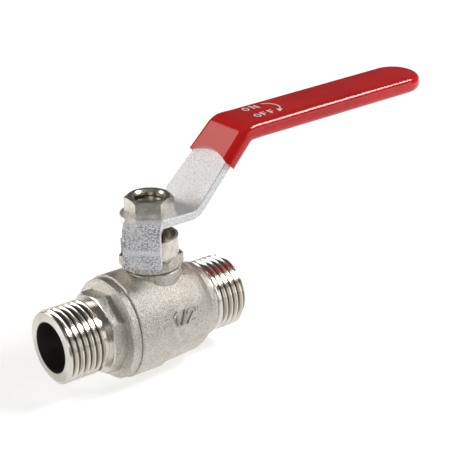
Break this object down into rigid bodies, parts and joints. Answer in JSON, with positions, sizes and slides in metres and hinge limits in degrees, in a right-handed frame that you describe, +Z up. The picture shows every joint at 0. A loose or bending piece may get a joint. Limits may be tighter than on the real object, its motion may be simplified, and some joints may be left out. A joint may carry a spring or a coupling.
{
  "type": "lever ball valve",
  "caption": "Small brass ball valve with two male pipe ends, a stem under a gland nut, and a long cranked steel lever in a dipped sleeve.",
  "frame": {"origin": "centre of the ball, where the pipe axis crosses the stem axis", "axes": "+X along the pipe towards the lever's grip (lever parallel to the pipe, valve open), +Z up the stem, +Y completes the right-handed frame"},
  "size_m": [0.1333, 0.0296, 0.0671],
  "materials": {
    "nickel_brass": "blasted and nickel plated",
    "polished_ball": "polished chrome plate on brass",
    "stem_brass": "turned",
    "ptfe": "moulded and turned",
    "seal_rubber": "moulded",
    "zinc_steel": "zinc plated, dull",
    "nut_steel": "nickel plated",
    "red_sleeve": "dipped, glossy",
    "white_print": "printed ink"
  },
  "bodies": {
    "valve_body": {"body": "nickel_brass", "end_connector": "nickel_brass", "connector_seal": "seal_rubber", "seat_inlet": "ptfe", "seat_outlet": "ptfe", "thrust_washer": "ptfe", "packing_lower": "ptfe", "packing_upper": "ptfe", "packing_follower": "stem_brass", "gland_nut": "nickel_brass"},
    "lever_and_stem": {"stem": "stem_brass", "lever": "zinc_steel", "grip_sleeve": "red_sleeve", "grip_print": "white_print", "lever_nut": "nut_steel"},
    "ball": {"ball": "polished_ball"}
  },
  "joints": [
    {"name": "lever_turn", "type": "hinge", "parent": "valve_body", "child": "lever_and_stem", "pos_m": [0, 0, 0], "axis": [0, 0, 1], "range_deg": [-90, 0]},
    {"name": "ball_turn", "type": "hinge", "parent": "valve_body", "child": "ball", "pos_m": [0, 0, 0], "axis": [0, 0, 1], "range_deg": [-90, 0]}
  ],
  "couplings": [
    {"joint": "ball_turn", "follows": "lever_turn", "ratio": 1}
  ]
}
